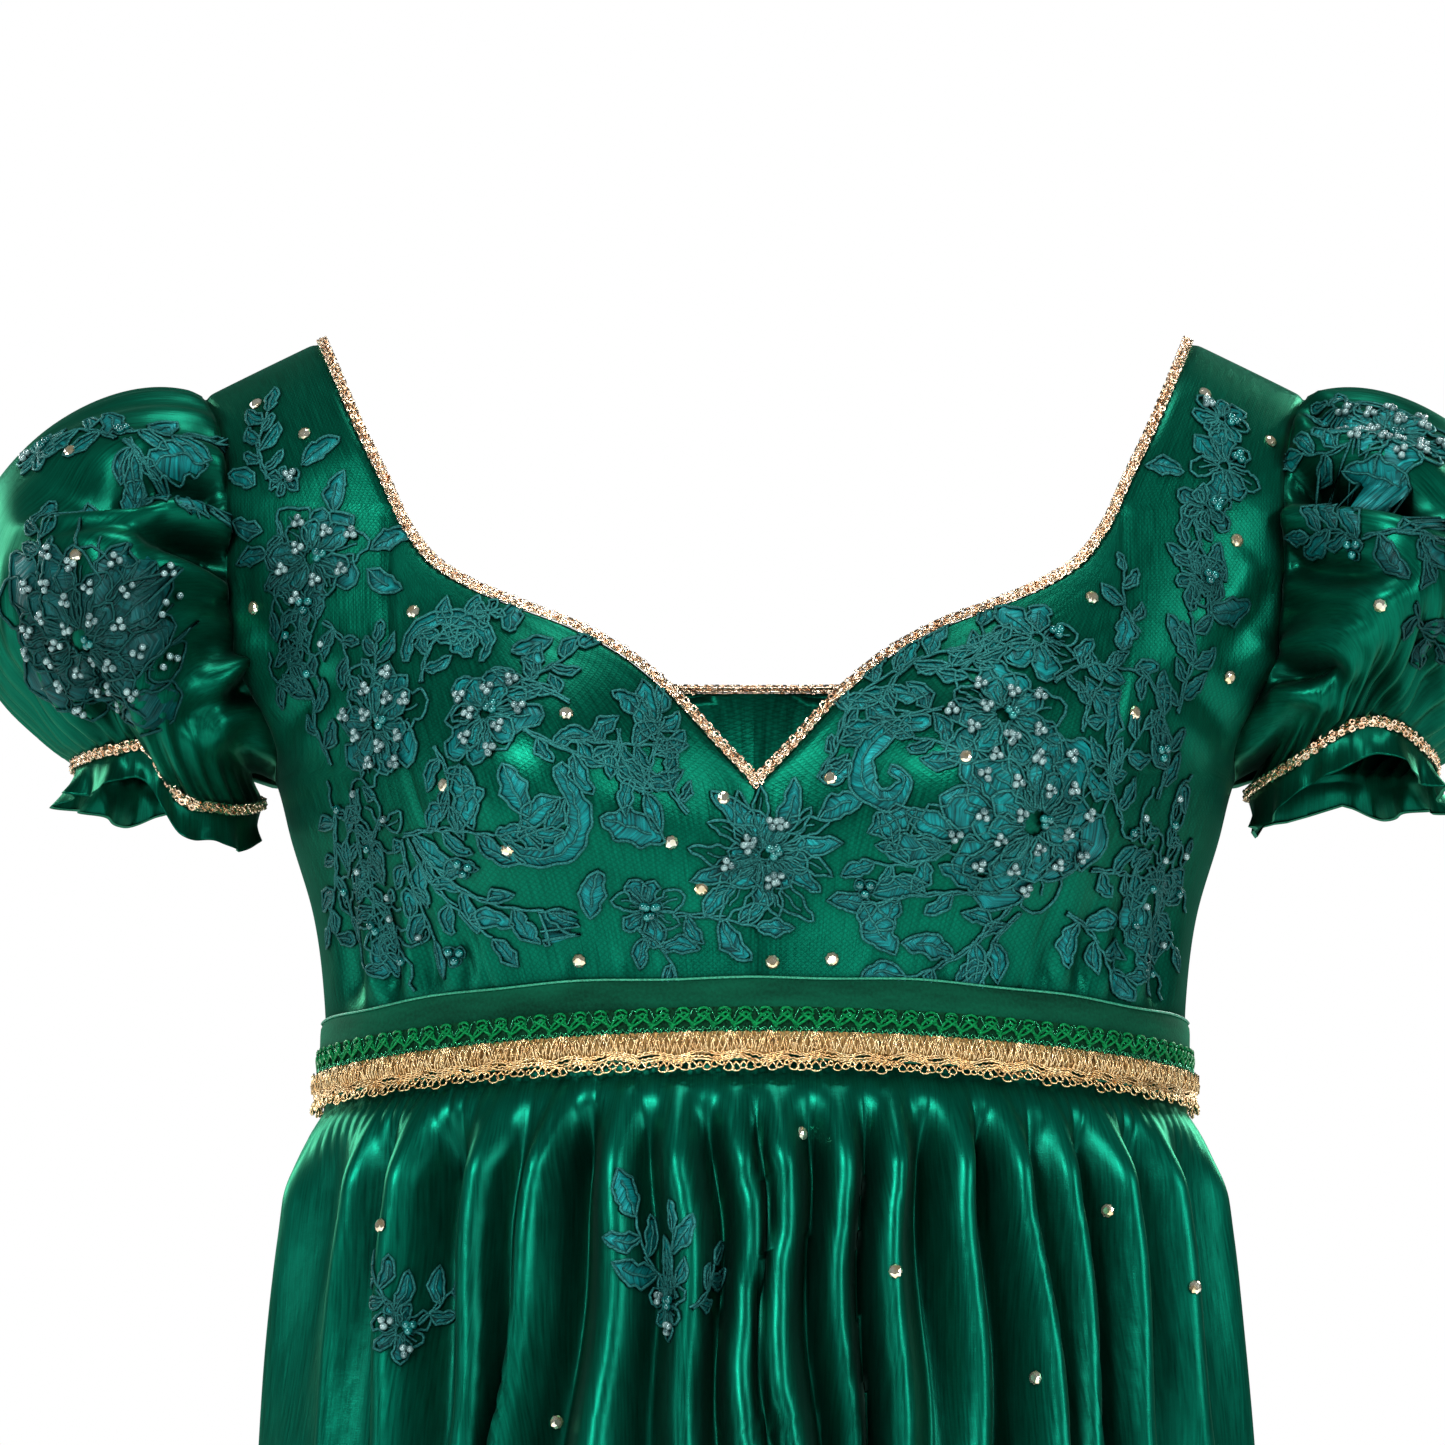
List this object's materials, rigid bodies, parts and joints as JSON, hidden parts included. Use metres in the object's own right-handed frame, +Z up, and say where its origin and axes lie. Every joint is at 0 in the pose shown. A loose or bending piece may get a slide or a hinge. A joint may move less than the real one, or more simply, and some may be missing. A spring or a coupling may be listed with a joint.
{
  "type": "regency dress",
  "caption": "Full-length high-waisted Regency gown in emerald satin with a sweetheart neck, short puff sleeves, corded lace flowers and a braided waistband.",
  "frame": {"origin": "midway between the shoulders, level with the inside of the straps where the shoulders carry the gown", "axes": "+Z up the gown, -Y out of its front, +X to the wearer's left"},
  "size_m": [0.646, 0.5561, 1.3927],
  "materials": {
    "satin": "emerald satin, glossy along its threads",
    "velvet_ribbon": "dark green velvet ribbon with a satin edge",
    "gimp_braid": "looped green gimp braid with a fine glitter",
    "gold_lace": "gathered gold metallic thread lace with loops on its edge",
    "gold_braid": "narrow rose-gold braid of bright links",
    "corded_lace": "teal corded lace with beads and pearls"
  },
  "bodies": {
    "root": {"bodice_back_left": "satin", "bodice_back_right": "satin", "bodice_front_centre_left": "satin", "bodice_front_centre_right": "satin", "bodice_front_side_left": "satin", "bodice_front_side_right": "satin", "cuff_braid_left": "gold_braid", "cuff_braid_right": "gold_braid", "lace_flower_centre": "corded_lace", "lace_flower_left_bust": "corded_lace", "lace_flower_left_neck": "corded_lace", "lace_flower_left_side": "corded_lace", "lace_flower_left_strap": "corded_lace", "lace_flower_right_berry": "corded_lace", "lace_flower_right_bust": "corded_lace", "lace_flower_right_neck": "corded_lace", "lace_flower_right_strap": "corded_lace", "neck_braid": "gold_braid", "skirt_back_left": "satin", "skirt_back_right": "satin", "skirt_front": "satin", "skirt_lace": "corded_lace", "sleeve_lace_left": "corded_lace", "sleeve_lace_right": "corded_lace", "sleeve_left": "satin", "sleeve_right": "satin", "waist_gimp": "gimp_braid", "waist_gold_lace": "gold_lace", "waist_ribbon": "velvet_ribbon"}
  },
  "joints": []
}
